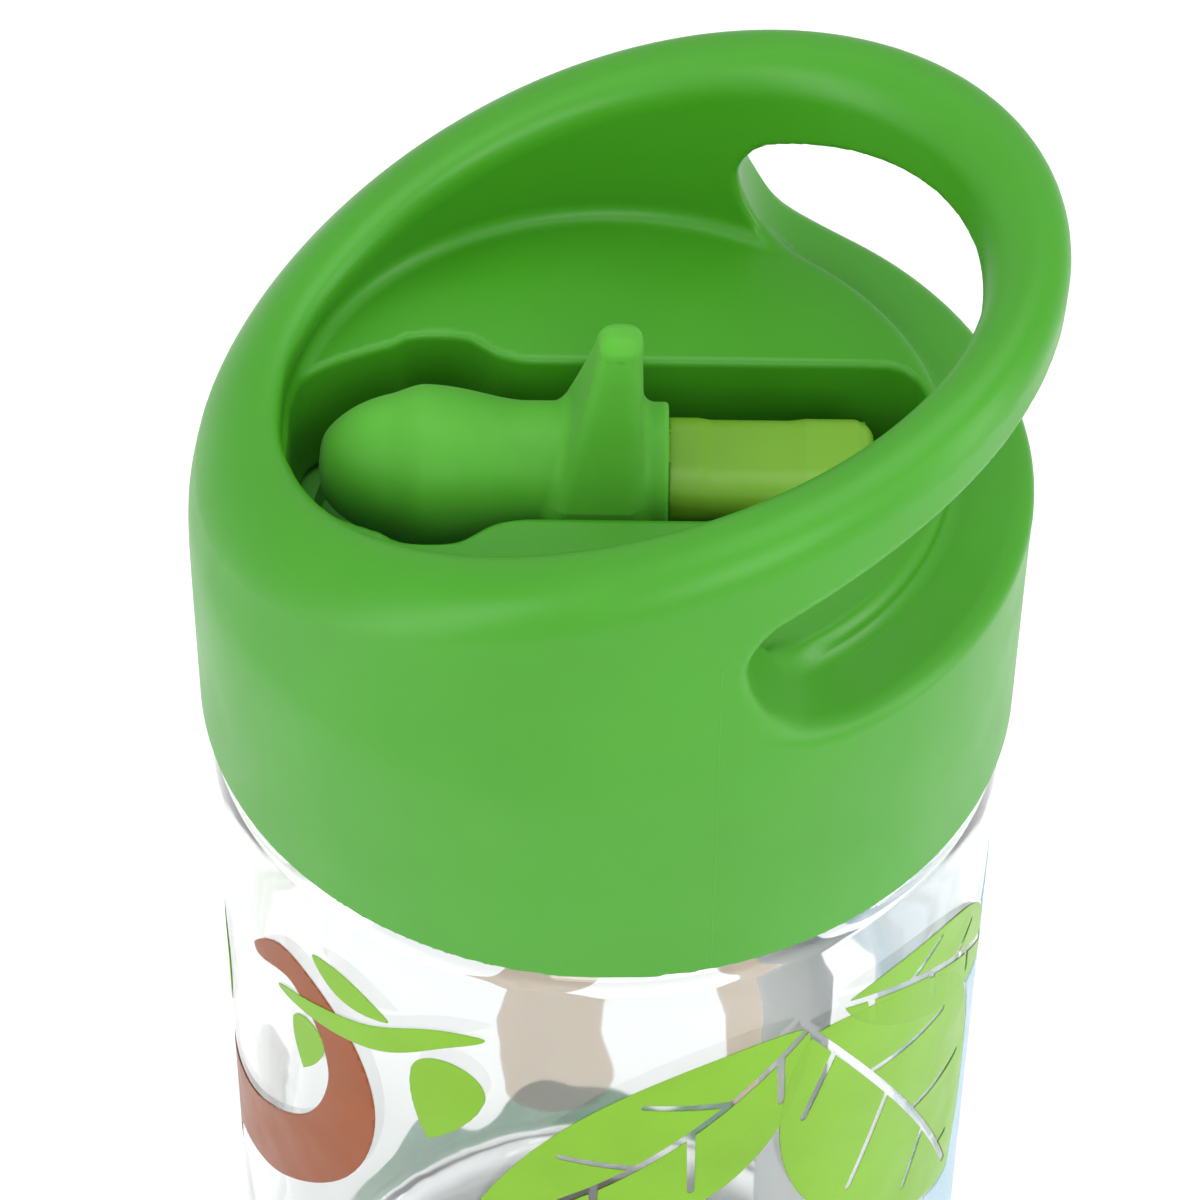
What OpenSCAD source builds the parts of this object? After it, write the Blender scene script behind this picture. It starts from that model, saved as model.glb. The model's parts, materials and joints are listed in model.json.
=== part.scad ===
// Child's drinking bottle: a clear beaker with a screw-on lid, a carrying loop
// moulded into the lid and a flip-up spout with a soft mouthpiece and a straw.
// Millimetres, +Z up. The origin is the middle of the base, the bottle's axis
// is Z, and +X points from the mouthpiece towards the spout's hinge.

/* [Bottle] */
// Outer diameter of the clear body
body_d = 70.8; // [68:0.2:86]
// Height from the table to the lower edge of the lid
body_h = 120; // [90:1:200]
// Wall thickness of the clear body
body_wall = 1.8; // [1.2:0.1:3]
// Radius that rounds the foot of the body
foot_r = 5; // [2:0.5:8]
// Width of the flat ring that the body stands on
foot_ring_w = 3; // [1:0.5:6]
// How far the middle of the base is pushed up
pushup_h = 3; // [1:0.5:5]
// Radius that rounds the shoulder under the lid
shoulder_r = 2.5; // [1:0.5:4]
// Height of the neck's rim above the lid's lower edge
neck_h = 12.4; // [11:0.2:16]
// Wall thickness of the neck
neck_wall = 2.0; // [1.4:0.1:2.6]

/* [Screw thread] */
// Rise of the thread in one turn
thread_pitch = 4; // [3:0.25:5]
// Turns that the lid makes before it comes free
thread_turns = 1.5; // [1:0.25:1.75]
// How far a thread ridge stands off its wall
thread_depth = 1.1; // [0.8:0.1:1.4]
// Width of a thread ridge at its foot
thread_foot_w = 2.2; // [1.6:0.1:2.4]
// Width of a thread ridge at its crest
thread_crest_w = 0.9; // [0.6:0.1:1.2]
// Clearance between the two threads, measured along the radius
thread_gap = 0.25; // [0.2:0.05:0.4]

/* [Lid shell] */
// How far the lid's skirt stands outside the body
skirt_lip = 0.7; // [0.4:0.1:2]
// Wall thickness of the lid's skirt
skirt_wall = 2.4; // [1.8:0.1:3.2]
// Height of the ledge under the finger opening, above the lid's lower edge
ledge_h = 24.6; // [23:0.2:30]
// Height of the deck round the spout, above the lid's lower edge
deck_h = 27.8; // [26:0.2:32]
// Thickness of the deck and of the ledge
deck_t = 2.2; // [1.6:0.1:3]
// Thickness of the walls that line the spout's channel
channel_wall = 1.6; // [1.2:0.1:2]

/* [Carrying loop] */
// Thickness of the loop's wall at the deck
loop_wall = 7.4; // [5:0.2:9]
// Height of the loop's crest over the bottle's axis, above the lid's lower edge
loop_h = 43.6; // [40:0.2:50]
// Angle at which the loop's crest climbs towards the hinge side
loop_slope = 21.6; // [16:0.2:24]
// Radius of the crest's long arch, seen from the side
loop_arch_r = 228; // [180:1:400]
// Height of the loop's section above the finger opening
grip_h = 8.0; // [6:0.2:10]
// Radius of the arch over the finger opening
grip_arch_r = 110; // [80:1:160]
// Distance from the bottle's axis to the closed end of the finger opening
grip_start = 11; // [8:0.5:16]

/* [Spout] */
// Diameter of the mouthpiece at its bulb
bulb_d = 12.9; // [11:0.1:14]
// Diameter of the mouthpiece along its neck
sleeve_d = 11.5; // [10:0.1:12.5]
// Distance from the hinge pin to the tip of the mouthpiece
spout_reach = 43.9; // [40:0.2:45]
// Width of the hinged tube, across the bottle
arm_w = 10; // [9:0.2:11]
// Height of the hinged tube
arm_h = 5.6; // [5:0.2:6.4]
// Diameter of the drinking bore
bore_d = 4; // [3:0.1:4.4]
// Diameter of the hinge pins on the tube
pin_d = 4; // [3:0.1:4.6]
// Radial clearance of the hinge pins in their cradles
pin_gap = 0.06; // [0.03:0.01:0.1]
// Diameter of the hinge barrel that turns on the seal
barrel_d = 9.2; // [8:0.1:10]
// Height of the finger tab above the spout's axis
tab_h = 15.9; // [12:0.1:17]

/* [Inner cap, seals and straw] */
// Thickness of the inner cap's floor and flange
cap_t = 1.6; // [1.2:0.1:2]
// How far the inner cap's floor dips below its flange
sump_h = 3.0; // [2:0.1:4]
// Clearance between parts that snap or slide together
fit_gap = 0.1; // [0.05:0.01:0.2]
// Thickness of the lid gasket
gasket_t = 1.6; // [1.2:0.1:2]
// Diameter of the seal under the hinge barrel
seal_d = 9; // [8:0.1:10]
// Outer diameter of the straw
straw_d = 6.6; // [5.6:0.1:7.6]
// Wall thickness of the straw
straw_wall = 0.8; // [0.6:0.05:1]
// Gap between the straw's lower end and the bottle's floor
straw_foot_gap = 4; // [2:0.5:10]

/* [Hidden] */
$fn = 96;
eps = 0.01;

// Bottle
body_r = body_d / 2;
neck_top = body_h + neck_h;
skirt_r = body_r + skirt_lip;
skirt_in_r = skirt_r - skirt_wall;
cap_r = skirt_in_r - fit_gap;
cap_wall = 1.85;
cap_in_r = cap_r - cap_wall;
neck_r = cap_in_r - thread_depth - thread_gap;
neck_in_r = neck_r - neck_wall;
shoulder_drop = 0.6;
shoulder_top = body_h - shoulder_drop;
shoulder_in = 1.5;
neck_root = 0.6;
rim_r = 0.7;
foot_x = body_r - foot_r;
pushup_r = foot_x - foot_ring_w;
floor_z = pushup_h + body_wall;

// Thread
thread_steps = 32;
thread_fade = 0.12;
neck_thread_z = body_h + 2.6;
cap_thread_turn = 0.3;
cap_thread_z = body_h + 0.6 + thread_pitch * cap_thread_turn;
cap_skirt_gap = 0.8;

// Inner cap
flange_z = neck_top + gasket_t;
flange_top = flange_z + cap_t;
sump_floor = flange_top - sump_h;
sump_under = sump_floor - cap_t;
sump_r = neck_in_r - 0.8;

// Spout, at rest: it lies along X in its channel
hinge_x = 19;
seal_seat_h = 2.4;
seal_h = 3.6;
hinge_z = sump_floor + seal_seat_h + barrel_d / 2;
axis_rise = 4.5;
axis_z = hinge_z + axis_rise;
tip_x = hinge_x - spout_reach;
sleeve_end = 5;
bulb_len = 9.2;
bulb_x = tip_x + 9;
bulb_taper = 4.5;
arm_side = arm_w / 2;
arm_round = 2.2;
arm_top = axis_z + arm_h / 2;
arm_tail_r = 7.5;
heel_angle = 56;
spigot_d = 6.8;
spigot_x = -9;
spigot_barb = 0.8;
slit_w = 0.4;
slit_l = 3.4;
tab_x = 2.8;
tab_foot = 7.8;
tab_top_t = 3.4;
tab_top_w = 3;

// Channel in the deck
channel_end = hinge_x + 8.2;
channel_side = bulb_d / 2 + 2.95;
channel_corner = 4;
channel_floor = flange_top + 0.6;
notch_depth = 2.9;

// Hinge cradles on the inner cap
cradle_t = 3;
cradle_l = 6.4;
cradle_side = arm_side + 0.5;
cradle_top = hinge_z + pin_d / 2 + 0.1;
cradle_mouth = 0.84;
pin_reach = cradle_side + cradle_t - 0.1;
rest_x = -5;
rest_l = 3;
rest_w = 7;
rest_gap = 0.4;

// Straw
spout_bore_r = bore_d / 2;
nipple_d = straw_d - 2 * straw_wall;
nipple_l = 8;
nipple_bore = 3.4;
straw_top = sump_under - fit_gap;
straw_low = floor_z + straw_foot_gap;

// Vent
vent_x = -12;
vent_stem_d = 3;
vent_cap_d = 9;
vent_hole_d = 1;
vent_hole_x = 3;
vent_disc_t = 0.8;

// Carrying loop: two leaning cones, cut by an arch above and by the finger opening
deck_z = body_h + deck_h;
ledge_z = body_h + ledge_h;
lean_z = body_h + ledge_h - 2.6;
lean_top = lean_z + 40;
lean_out = 0.155;
lean_in = 0.239;
narrow_out = 0.11;
narrow_in = 0.128;
bowl_r = skirt_r - 0.6 - loop_wall;
bowl_low_r = bowl_r + 0.75;
plateau_r = bowl_r + 0.8;
arch_x = loop_arch_r * sin(loop_slope);
arch_z = body_h + loop_h - loop_arch_r * cos(loop_slope);
grip_x = 26;
grip_slope = 19.3;
grip_z = arch_z + sqrt(pow(loop_arch_r, 2) - pow(arch_x - grip_x, 2)) - grip_h;
grip_arch_x = grip_x + grip_arch_r * sin(grip_slope);
grip_arch_z = grip_z - grip_arch_r * cos(grip_slope);
grip_low_r = 8;
grip_high_r = 4;
grip_side_x = skirt_r + 9;

clear_col = [0.86, 0.92, 0.94, 0.45];
shell_col = "#5CB040";
tube_col = "#8DB443";
soft_col = "#4FA63C";
cap_col = "#4A9A3C";
rubber_col = "#DDE6DA";
straw_col = "#E9EEF0";

// Points of an arc in the plane, from angle a to angle b
function arc(c, r, a, b, n) =
    [for (i = [0 : n]) c + r * [cos(a + (b - a) * i / n), sin(a + (b - a) * i / n)]];

// One trapezoid of a thread ridge; a negative depth makes an internal thread
function ridge_ring(r, depth, a, z, s) = [
    for (p = [[-0.2 * sign(depth), -thread_foot_w / 2], [depth * s, -thread_crest_w / 2],
              [depth * s, thread_crest_w / 2], [-0.2 * sign(depth), thread_foot_w / 2]])
        [(r + p[0]) * cos(a), (r + p[0]) * sin(a), z + p[1]]];

// Height of the ridge along its length: it fades in and out at both ends
function ridge_fade(t) = min(1, 0.1 + t / thread_fade, 0.1 + (thread_turns - t) / thread_fade);

module thread_ridge(r, depth, z, start) {
    steps = ceil(thread_turns * thread_steps);
    flip = depth < 0;
    points = [for (i = [0 : steps]) let (t = thread_turns * i / steps)
              each ridge_ring(r, depth, start + 360 * t, z + thread_pitch * t, ridge_fade(t))];
    sides = [for (i = [0 : steps - 1], k = [0 : 3])
             let (a = 4 * i + k, b = 4 * i + (k + 1) % 4, c = a + 4, d = b + 4)
             each flip ? [[a, c, b], [b, c, d]] : [[a, b, c], [b, d, c]]];
    last = 4 * steps;
    ends = flip ? [[0, 1, 2], [0, 2, 3], [last, last + 2, last + 1], [last, last + 3, last + 2]]
                : [[0, 2, 1], [0, 3, 2], [last, last + 1, last + 2], [last, last + 2, last + 3]];
    polyhedron(points = points, faces = concat(sides, ends));
}

module along_x(x) { translate([x, 0, axis_z]) rotate([0, 90, 0]) children(); }

module across_y(x, z, r, w) {
    translate([x, w / 2, z]) rotate([90, 0, 0]) cylinder(r = r, h = w);
}

// ---------------------------------------------------------------- bottle

module bottle_profile() {
    in_r = body_r - body_wall;
    polygon(concat(
        [[0, pushup_h]],
        [for (i = [1 : 6]) [pushup_r * i / 6, pushup_h * (1 - pow(i / 6, 2))]],
        arc([foot_x, foot_r], foot_r, -90, 0, 8),
        arc([body_r - shoulder_r, shoulder_top - shoulder_r], shoulder_r, 0, 90, 8),
        [[neck_r + neck_root, shoulder_top], [neck_r, shoulder_top + neck_root]],
        arc([neck_r - rim_r, neck_top - rim_r], rim_r, 0, 90, 4),
        arc([neck_in_r + rim_r, neck_top - rim_r], rim_r, 90, 180, 4),
        [[neck_in_r, shoulder_top - 0.5]],
        [[in_r - shoulder_in, shoulder_top - body_wall - 0.2], [in_r, shoulder_top - body_wall - 1.8]],
        arc([foot_x, floor_z + foot_r - body_wall], foot_r - body_wall, 0, -90, 6),
        [[0, floor_z]]));
}

module bottle_body() {
    color(clear_col) union() {
        rotate_extrude() bottle_profile();
        thread_ridge(neck_r, thread_depth, neck_thread_z, 0);
    }
}

// ------------------------------------------------------------- lid shell

// Mouth of the spout's channel, with its finger notches beside the bulb
module channel_outline() {
    bulb_side = [[8.4, 0], [6.4, 0.7], [4.7, 1.8], [3.7, notch_depth], [-1.9, notch_depth],
                 [-2.9, 1.8], [-5.3, 0.8], [-8.7, -1], [-10.5, -2.2], [-11.3, -4]];
    half = concat(
        arc([channel_end - channel_corner, channel_side - channel_corner], channel_corner, 0, 90, 6),
        [for (p = bulb_side) [bulb_x + p[0], channel_side + p[1]]]);
    polygon(concat(half, [for (i = [len(half) - 1 : -1 : 0]) [half[i][0], -half[i][1]]]));
}

// A leaning cone from lean_z - below up to the top of the loop
module leaning_cone(r, lean, narrow, from_z) {
    hull() {
        for (z = [from_z, lean_top])
            translate([lean * (z - lean_z), 0, z]) cylinder(r = r - narrow * (z - lean_z), h = eps);
    }
}

// Side outline of the finger opening, in X and Z; it is open towards +X
module finger_opening() {
    x0 = grip_start;
    low = arc([x0 + grip_low_r, ledge_z + grip_low_r], grip_low_r, 270, 180, 6);
    high_x = x0 + grip_high_r;
    high_z = grip_arch_z + sqrt(pow(grip_arch_r, 2) - pow(grip_arch_x - high_x, 2)) - grip_high_r;
    high = arc([high_x, high_z], grip_high_r, 180, 115, 4);
    arch = [for (i = [0 : 7]) let (x = high_x + 2 + (grip_side_x - high_x - 2) * i / 7)
            [x, grip_arch_z + sqrt(pow(grip_arch_r, 2) - pow(grip_arch_x - x, 2))]];
    rotate([90, 0, 0]) linear_extrude(height = 2 * body_d, center = true)
        polygon(concat([[grip_side_x, ledge_z]], low, high, arch));
}

module loop() {
    difference() {
        intersection() {
            leaning_cone(skirt_r - 0.1, lean_out, narrow_out, lean_z);
            across_y(arch_x, arch_z, loop_arch_r, 3 * body_d);
        }
        leaning_cone(bowl_low_r, lean_in, narrow_in, lean_z - 2);
        finger_opening();
    }
}

module lid_shell() {
    color(shell_col) difference() {
        union() {
            translate([0, 0, body_h]) cylinder(r = skirt_r, h = ledge_h);
            translate([0, 0, ledge_z - eps]) cylinder(r = plateau_r, h = deck_z - ledge_z + eps);
            loop();
        }
        difference() {
            translate([0, 0, body_h - 1]) cylinder(r = skirt_in_r, h = ledge_h - deck_t + 1);
            translate([0, 0, channel_floor]) linear_extrude(height = deck_h) offset(delta = channel_wall)
                channel_outline();
        }
        translate([0, 0, channel_floor - 1]) linear_extrude(height = deck_h) channel_outline();
    }
}

// ------------------------------------------------------------- inner cap

module hinge_cradle() {
    difference() {
        translate([hinge_x - cradle_l / 2, cradle_side, sump_floor - eps])
            cube([cradle_l, cradle_t, cradle_top - sump_floor + eps]);
        across_y(hinge_x, hinge_z, pin_d / 2 + pin_gap, body_d);
        translate([hinge_x - cradle_mouth * pin_d / 2, 0, hinge_z])
            cube([cradle_mouth * pin_d, body_d, cradle_top]);
    }
}

module inner_cap() {
    cap_low = body_h + cap_skirt_gap;
    color(cap_col) {
        difference() {
            union() {
                translate([0, 0, cap_low]) cylinder(r = cap_r, h = flange_top - cap_low);
                translate([0, 0, sump_under]) cylinder(r = sump_r, h = cap_t);
                translate([hinge_x, 0, sump_under - nipple_l]) cylinder(d = nipple_d, h = nipple_l + 1);
            }
            translate([0, 0, cap_low - 1]) difference() {
                cylinder(r = cap_in_r, h = flange_z - cap_low + 1);
                cylinder(r = sump_r, h = body_d);
            }
            difference() {
                translate([0, 0, cap_low - 1]) cylinder(r = sump_r + eps, h = sump_under - cap_low + 1);
                translate([hinge_x, 0, cap_low - 10]) cylinder(d = nipple_d, h = body_d);
            }
            translate([0, 0, sump_floor]) cylinder(r = sump_r - cap_t, h = body_d);
            translate([hinge_x, 0, sump_under - nipple_l - 1]) cylinder(d = nipple_bore, h = body_d);
            translate([vent_x, 0, sump_under - 1]) cylinder(d = vent_stem_d + fit_gap, h = cap_t + 2);
            for (a = [60 : 120 : 300])
                translate([vent_x + vent_hole_x * cos(a), vent_hole_x * sin(a), sump_under - 1])
                    cylinder(d = vent_hole_d, h = cap_t + 2);
        }
        thread_ridge(cap_in_r, -thread_depth, cap_thread_z, 360 * cap_thread_turn);
        translate([hinge_x, 0, sump_floor - eps]) difference() {
            cylinder(d = seal_d + 3, h = seal_seat_h);
            translate([0, 0, -1]) cylinder(d = seal_d + fit_gap, h = seal_seat_h + 2);
        }
        hinge_cradle();
        mirror([0, 1, 0]) hinge_cradle();
        translate([rest_x, -rest_w / 2, sump_floor - eps])
            cube([rest_l, rest_w, axis_z - sleeve_d / 2 - rest_gap - sump_floor]);
    }
}

// ----------------------------------------------------- gasket, seal, valve

module lid_gasket() {
    color(rubber_col) translate([0, 0, neck_top]) difference() {
        cylinder(r = cap_in_r - fit_gap, h = gasket_t);
        translate([0, 0, -1]) cylinder(r = sump_r + fit_gap, h = gasket_t + 2);
    }
}

module spout_seal() {
    color(rubber_col) difference() {
        translate([hinge_x, 0, sump_floor]) cylinder(d = seal_d, h = seal_h);
        across_y(hinge_x, hinge_z, barrel_d / 2 + 0.05, body_d);
        translate([hinge_x, 0, sump_floor - 1]) cylinder(r = spout_bore_r, h = seal_h + 2);
    }
}

module vent_valve() {
    color(rubber_col) translate([vent_x, 0, 0]) {
        translate([0, 0, sump_under - vent_disc_t]) cylinder(d = vent_cap_d, h = vent_disc_t);
        translate([0, 0, sump_under - eps]) cylinder(d = vent_stem_d, h = cap_t + 2 * eps);
        translate([0, 0, sump_floor]) cylinder(d1 = vent_stem_d + 1.2, d2 = vent_stem_d - 1, h = 2);
    }
}

// ----------------------------------------------------------------- spout

// Section of the hinged tube: a flat bar with rounded edges, drawn across X
module arm_section() {
    for (s = [-1, 1]) {
        translate([-(arm_h / 2 - arm_round), s * (arm_side - arm_round)]) circle(r = arm_round);
        translate([arm_h / 2 - arm_round, s * (arm_side - arm_round)]) circle(r = arm_round);
    }
    square([arm_h, arm_w - 2 * arm_round], center = true);
    square([arm_h - 2 * arm_round, arm_w], center = true);
}

// Heel that joins the flat bar to the hinge barrel; its slope clears the seal when the spout is up
module arm_heel() {
    rise = arm_top - hinge_z;
    translate([hinge_x, 0, hinge_z]) rotate([90, 0, 0]) linear_extrude(height = arm_w, center = true)
        polygon([[0, 0], [rise / tan(heel_angle), rise], [-arm_tail_r, rise], [-arm_tail_r, 0]]);
}

module spout_arm() {
    color(tube_col) difference() {
        union() {
            along_x(sleeve_end) linear_extrude(height = hinge_x - sleeve_end) arm_section();
            intersection() {
                across_y(hinge_x, hinge_z, arm_tail_r, arm_w);
                arm_heel();
            }
            across_y(hinge_x, hinge_z, barrel_d / 2, arm_w);
            across_y(hinge_x, hinge_z, pin_d / 2, 2 * pin_reach);
            along_x(spigot_x) cylinder(d = spigot_d, h = sleeve_end - spigot_x + 1);
            along_x(spigot_x + 2) cylinder(d1 = spigot_d, d2 = spigot_d + spigot_barb, h = 2);
        }
        along_x(spigot_x - 1) cylinder(r = spout_bore_r, h = hinge_x - 8 - spigot_x + 1);
        translate([hinge_x - 8, 0, axis_z]) sphere(r = spout_bore_r);
        translate([hinge_x, 0, hinge_z]) rotate([0, -atan2(8, axis_rise), 0])
            cylinder(r = spout_bore_r, h = norm([8, axis_rise]));
        translate([hinge_x, 0, hinge_z]) sphere(r = spout_bore_r);
        translate([hinge_x, 0, hinge_z]) rotate([0, 90, 0]) cylinder(r = spout_bore_r, h = body_d);
    }
}

// Half outline of the mouthpiece: distance from the tip and radius
function bulb_r(x) = bulb_d / 2 * sqrt(1 - pow(min(0, x - bulb_x) / bulb_len, 2));

module mouthpiece() {
    len_x = sleeve_end - tip_x;
    bulb = [for (i = [0 : 7]) let (x = tip_x + (bulb_x - tip_x) * (1 - pow(1 - i / 7, 2)))
            [bulb_r(x), x - tip_x]];
    neck = [for (i = [1 : 4]) let (s = (1 - cos(45 * i)) / 2)
            [bulb_d / 2 * (1 - s) + sleeve_d / 2 * s, bulb_x + bulb_taper * i / 4 - tip_x]];
    tab_side = sleeve_d / 2 - 0.3;
    color(soft_col) difference() {
        union() {
            along_x(tip_x) rotate_extrude() polygon(concat([[0, 0]], bulb, neck,
                [[sleeve_d / 2, len_x - 0.4], [sleeve_d / 2 - 0.4, len_x], [0, len_x]]));
            hull() {
                translate([tab_x - tab_foot, -tab_side, axis_z - 1]) cube([tab_foot, 2 * tab_side, 1]);
                translate([tab_x - tab_top_t, -tab_top_w / 2, axis_z + tab_h - 2])
                    cube([tab_top_t - 0.4, tab_top_w, 2]);
            }
        }
        along_x(spigot_x) cylinder(d = spigot_d + 2 * eps, h = body_d);
        along_x(spigot_x + 1.5) cylinder(d = spigot_d + spigot_barb + 0.2, h = 3);
        along_x(tip_x + 3.5) cylinder(d = spigot_d - 1.6, h = spigot_x - tip_x);
        for (a = [0, 90])
            along_x(tip_x - 1) rotate([0, 0, a])
                translate([-slit_w / 2, -slit_l / 2, 0]) cube([slit_w, slit_l, 6]);
    }
}

// ----------------------------------------------------------------- straw

module straw() {
    color(straw_col) difference() {
        translate([hinge_x, 0, straw_low]) cylinder(d = straw_d, h = straw_top - straw_low);
        translate([hinge_x, 0, straw_low - 1]) cylinder(d = straw_d - 2 * straw_wall, h = body_h + 20);
        translate([hinge_x, 0, straw_low]) rotate([0, 30, 0]) translate([0, 0, -10])
            cube([30, 30, 20], center = true);
    }
}

bottle_body();
lid_shell();
inner_cap();
lid_gasket();
spout_arm();
mouthpiece();
spout_seal();
vent_valve();
straw();
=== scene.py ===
"""A child's drinking bottle: a clear beaker, a green screw-on lid with a carrying loop, and a
flip-up spout with a soft mouthpiece. Each button in the sidebar builds one piece."""

import json
import math

import bpy
import numpy as np
from mathutils import Matrix, Vector


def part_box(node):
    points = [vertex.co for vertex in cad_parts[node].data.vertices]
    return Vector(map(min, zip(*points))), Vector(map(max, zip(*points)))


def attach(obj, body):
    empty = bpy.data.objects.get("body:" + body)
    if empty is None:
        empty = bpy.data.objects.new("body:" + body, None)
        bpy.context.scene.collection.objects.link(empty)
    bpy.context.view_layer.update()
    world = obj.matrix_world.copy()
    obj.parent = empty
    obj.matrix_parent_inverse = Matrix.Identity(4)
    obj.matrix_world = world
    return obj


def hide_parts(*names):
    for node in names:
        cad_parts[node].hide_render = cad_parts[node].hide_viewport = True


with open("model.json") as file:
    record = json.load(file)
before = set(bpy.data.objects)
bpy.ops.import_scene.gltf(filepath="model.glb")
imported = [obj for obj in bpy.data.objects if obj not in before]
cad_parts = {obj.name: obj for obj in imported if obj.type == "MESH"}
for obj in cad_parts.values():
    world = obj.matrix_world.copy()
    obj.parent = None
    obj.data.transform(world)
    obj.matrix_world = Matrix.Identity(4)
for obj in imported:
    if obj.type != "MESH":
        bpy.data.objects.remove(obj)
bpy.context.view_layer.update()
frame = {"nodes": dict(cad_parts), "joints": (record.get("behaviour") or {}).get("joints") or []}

bl_info = {
    "name": "Flip-Spout Drinking Bottle",
    "version": (1, 0, 0),
    "blender": (4, 5, 0),
    "location": "View3D > Sidebar > Bottle",
    "description": "Builds a clear child's bottle with a green lid, a carrying loop and a flip-up spout",
    "category": "Add Mesh",
}

MM = 0.001
TINY = 1e-9
FAR = 1e6

# The CAD's own sizes that its boxes do not show, in millimetres
CAP_RISE = 3.2
SPOUT_RISE = 4.5
SKIRT_WALL = 2.4
CAP_GAP = 0.1
CAP_WALL = 1.85
THREAD_DEPTH = 1.1
THREAD_GAP = 0.25
THREAD_TURNS = 1.5
ARM_SIDE = 5
BORE_R = 2

# Places taken from the frame, in millimetres
BODY_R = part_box("bottle_body")[1].x / MM
RIM_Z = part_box("bottle_body")[1].z / MM
LID_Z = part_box("lid_shell")[0].z / MM
SKIRT_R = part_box("lid_shell")[1].y / MM
NECK_R = SKIRT_R - SKIRT_WALL - CAP_GAP - CAP_WALL - THREAD_DEPTH - THREAD_GAP
CAP_TOP = RIM_Z + CAP_RISE
TIP_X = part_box("mouthpiece")[0].x / MM
COLLAR_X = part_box("mouthpiece")[1].x / MM
STRAW_LOW, STRAW_TOP = (corner.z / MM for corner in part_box("straw"))
HINGE = next(joint for joint in frame["joints"] if joint["name"] == "spout_flip")["pos_m"]
HINGE_X, HINGE_Z = HINGE[0] / MM, HINGE[2] / MM
AXIS_Z = HINGE_Z + SPOUT_RISE


# ------------------------------------------------------------------ sizes and colours


class BottleSizes(bpy.types.PropertyGroup):
    """Sizes of the clear body and its straw"""

    wall: bpy.props.FloatProperty(
        name="Wall", description="Thickness of the clear wall", default=1.8 * MM, unit="LENGTH")
    neck_wall: bpy.props.FloatProperty(
        name="Neck wall", description="Thickness of the neck", default=2 * MM, unit="LENGTH")
    foot_radius: bpy.props.FloatProperty(
        name="Foot radius", description="Radius that rounds the foot",
        default=5 * MM, unit="LENGTH")
    thread_pitch: bpy.props.FloatProperty(
        name="Thread pitch", description="Rise of the thread in a turn",
        default=4 * MM, unit="LENGTH")
    straw_wall: bpy.props.FloatProperty(
        name="Straw wall", description="Thickness of the straw", default=0.8 * MM, unit="LENGTH")


class LidSizes(bpy.types.PropertyGroup):
    """Sizes of the lid shell"""

    deck: bpy.props.FloatProperty(
        name="Deck", description="Height of the deck over the lid's edge",
        default=27.8 * MM, unit="LENGTH")
    ledge: bpy.props.FloatProperty(
        name="Ledge", description="Height of the ledge under the loop",
        default=24.6 * MM, unit="LENGTH")
    loop_wall: bpy.props.FloatProperty(
        name="Loop wall", description="Thickness of the loop at the deck",
        default=7.9 * MM, unit="LENGTH")
    crest_radius: bpy.props.FloatProperty(
        name="Crest", description="Radius that rounds the loop's crest",
        default=3.4 * MM, unit="LENGTH")
    net: bpy.props.FloatProperty(
        name="Mesh size", description="Size of one face of the lid", default=0.55 * MM, unit="LENGTH")


class SpoutSizes(bpy.types.PropertyGroup):
    """Sizes of the mouthpiece and the hinged tube"""

    bulb: bpy.props.FloatProperty(
        name="Bulb", description="Diameter of the soft bulb", default=12.9 * MM, unit="LENGTH")
    sleeve: bpy.props.FloatProperty(
        name="Sleeve", description="Diameter of the soft sleeve", default=11.5 * MM, unit="LENGTH")
    tab: bpy.props.FloatProperty(
        name="Tab", description="Height of the finger tab over the spout's axis",
        default=15.9 * MM, unit="LENGTH")
    net: bpy.props.FloatProperty(
        name="Mesh size", description="Size of one face of the spout", default=0.24 * MM, unit="LENGTH")


class BottleColours(bpy.types.PropertyGroup):
    """Colours as sRGB hex values"""

    lid: bpy.props.StringProperty(
        name="Lid", description="Moulded polypropylene of the lid", default="#3A8818")
    spout: bpy.props.StringProperty(
        name="Spout", description="Moulded polypropylene of the hinged tube", default="#679724")
    mouthpiece: bpy.props.StringProperty(
        name="Mouthpiece", description="Silicone of the mouthpiece", default="#4B9C28")
    leaf: bpy.props.StringProperty(
        name="Leaf ink", description="Screen-printed leaf green", default="#6E9F1A")


def hex_linear(code):
    """Linear colour with alpha from an sRGB hex value"""
    parts = [int(code[i:i + 2], 16) / 255 for i in (1, 3, 5)]
    return (*(c / 12.92 if c <= 0.04045 else ((c + 0.055) / 1.055) ** 2.4 for c in parts), 1)


# --------------------------------------------------------------------------- materials


def add_node(finish, kind, values=None, links=None):
    """Adds a node to a material with its settings and its links"""
    node = finish.node_tree.nodes.new(kind)
    for key, value in (values or {}).items():
        node.inputs[key].default_value = value
    for key, socket in (links or {}).items():
        finish.node_tree.links.new(socket, node.inputs[key])
    return node


def start_finish(name, values):
    """A new material with its shader's constant values; returns both"""
    finish = bpy.data.materials.new(name)
    finish.use_nodes = True
    shader = finish.node_tree.nodes["Principled BSDF"]
    for key, value in values.items():
        shader.inputs[key].default_value = value
    return finish, shader


def vary_colour(finish, shader, position, size_mm, dark, light):
    """Lets the colour drift between two hex values over patches of a real size"""
    noise = add_node(finish, "ShaderNodeTexNoise",
                     {"Scale": 1 / (size_mm * MM), "Detail": 3.0, "Roughness": 0.5},
                     {"Vector": position})
    ramp = add_node(finish, "ShaderNodeValToRGB", links={"Fac": noise.outputs["Fac"]})
    ramp.color_ramp.elements[0].position = 0.3
    ramp.color_ramp.elements[0].color = hex_linear(dark)
    ramp.color_ramp.elements[1].position = 0.7
    ramp.color_ramp.elements[1].color = hex_linear(light)
    finish.node_tree.links.new(ramp.outputs["Color"], shader.inputs["Base Color"])


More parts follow.
